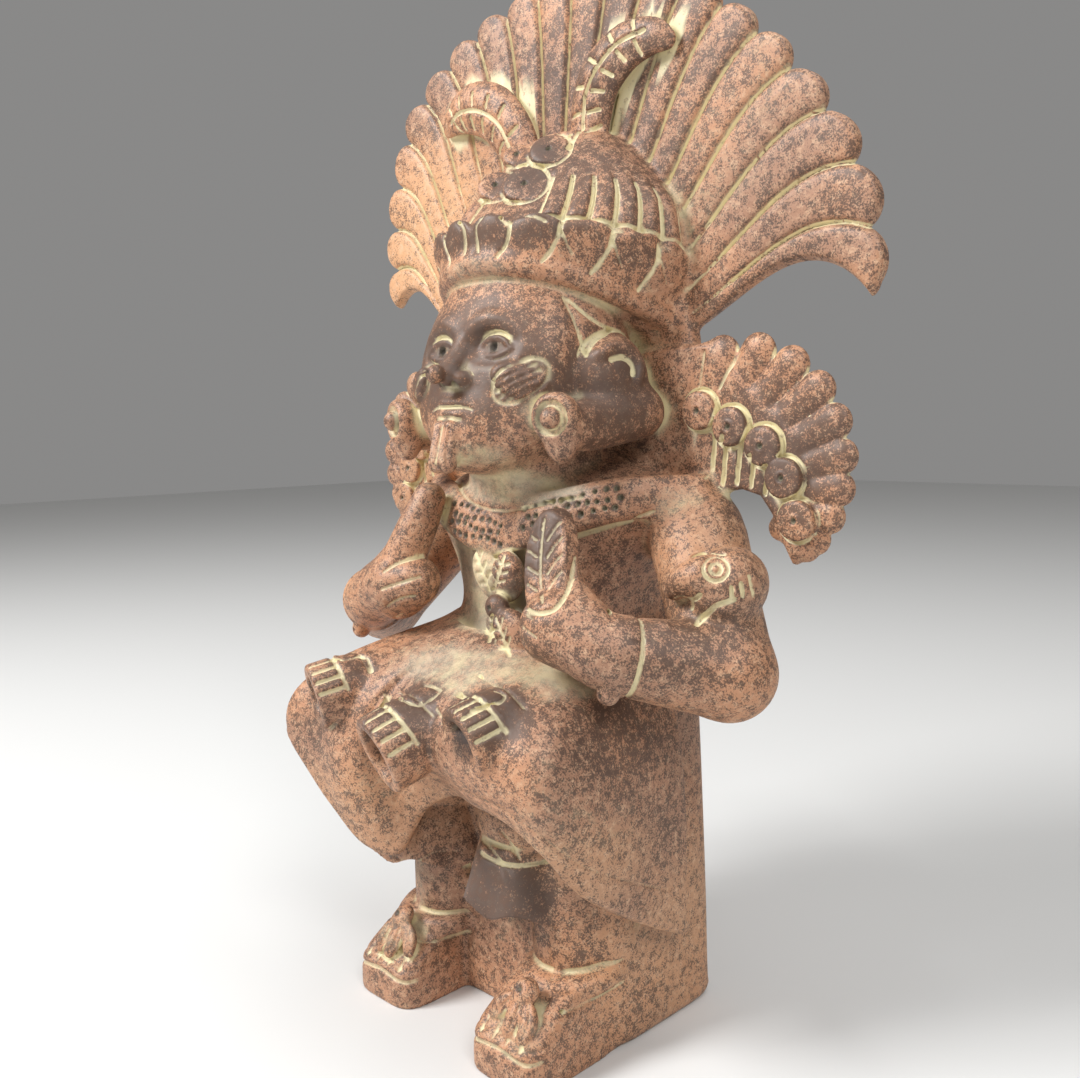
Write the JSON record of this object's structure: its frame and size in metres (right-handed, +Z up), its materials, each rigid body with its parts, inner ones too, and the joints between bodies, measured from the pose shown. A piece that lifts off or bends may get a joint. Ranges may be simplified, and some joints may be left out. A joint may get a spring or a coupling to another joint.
{
  "type": "figural clay vessel",
  "caption": "Seated figure in burnished fired clay with a tall feather-fan headdress and feathered ear fans, made as a hollow vessel with a mouth behind the head.",
  "frame": {"origin": "middle of the flat underside of the block, at the middle of the figure's width", "axes": "+Z up along the figure, -Y the way the face looks, +X the figure's own left side"},
  "size_m": [0.3098, 0.178, 0.4859],
  "materials": {
    "clay": "unglazed burnished clay with a satin sheen"
  },
  "bodies": {
    "root": {"clay_figure": "clay"}
  },
  "joints": []
}
